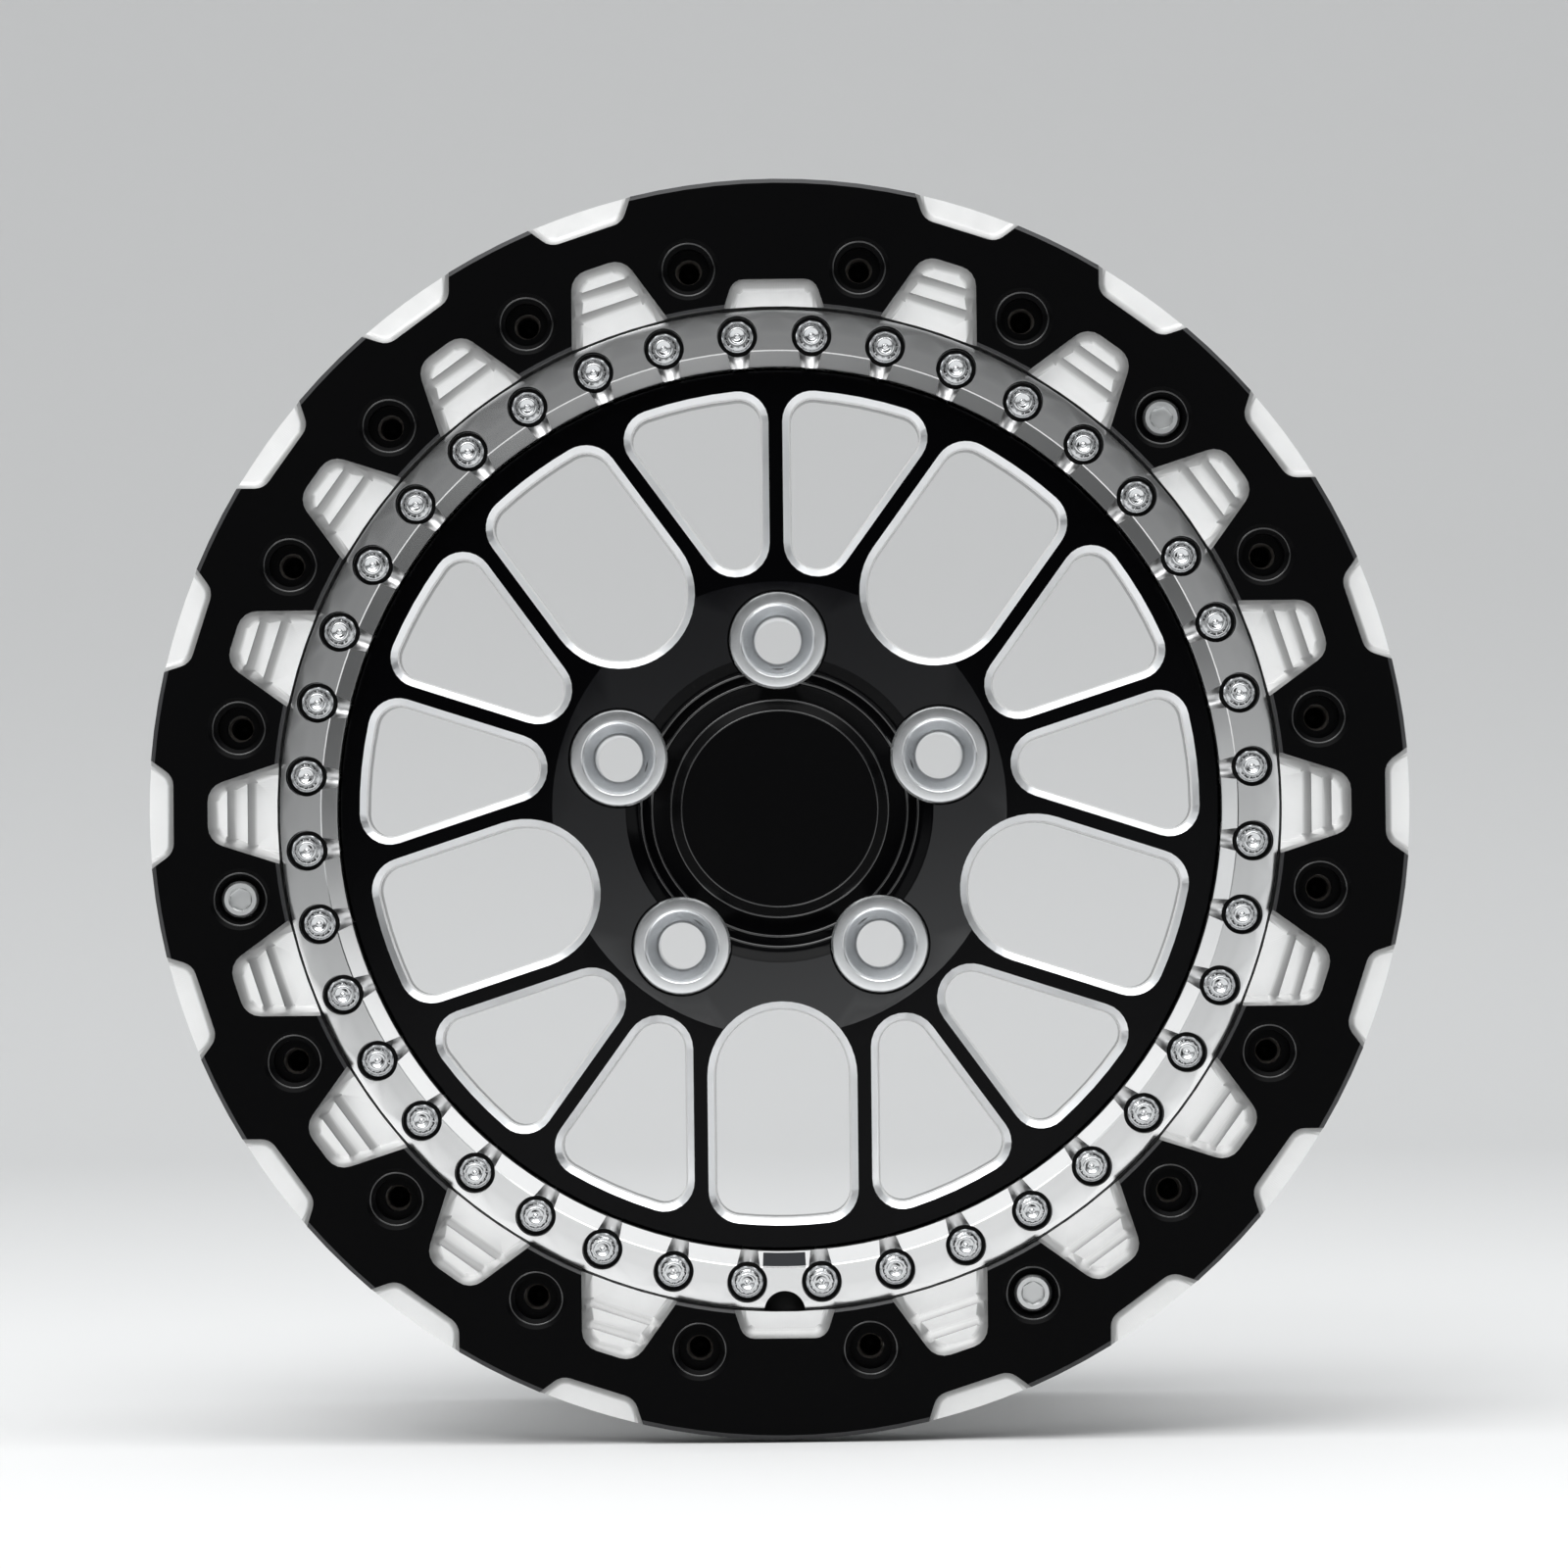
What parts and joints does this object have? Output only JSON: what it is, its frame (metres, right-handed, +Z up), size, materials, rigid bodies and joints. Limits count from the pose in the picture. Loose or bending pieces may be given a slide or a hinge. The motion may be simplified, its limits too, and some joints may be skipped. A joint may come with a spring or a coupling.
{
  "type": "beadlock_wheel",
  "caption": "Beadlock car wheel with a black bolted clamp ring, a machined silver rim and a gloss black windowed centre, without a tyre",
  "frame": {"origin": "on the axle, at the plane where the wheel meets the hub", "axes": "+Z up, +Y along the axle towards the vehicle, +X to the right seen from the wheel's face"},
  "size_m": [0.425, 0.229, 0.425],
  "materials": {
    "anodised_black": "satin black anodised",
    "steel": "bright turned steel",
    "machined_silver": "machined",
    "rubber_black": "matte",
    "gloss_black": "gloss",
    "zinc": "zinc plated, satin",
    "black_washer": "satin",
    "cap_black": "satin black anodised"
  },
  "bodies": {
    "root": {"beadlock_ring": "anodised_black", "ring_bolt_1": "steel", "ring_bolt_2": "steel", "ring_bolt_3": "steel", "thread_inserts": "steel", "outer_rim": "machined_silver", "inner_rim": "machined_silver", "rim_seal": "rubber_black", "wheel_centre": "gloss_black", "perimeter_bolts": "zinc", "perimeter_washers": "black_washer", "perimeter_nuts": "zinc", "lug_insert_1": "zinc", "lug_insert_2": "zinc", "lug_insert_3": "zinc", "lug_insert_4": "zinc", "lug_insert_5": "zinc", "centre_cap": "cap_black", "cap_o_ring": "rubber_black"}
  },
  "joints": []
}
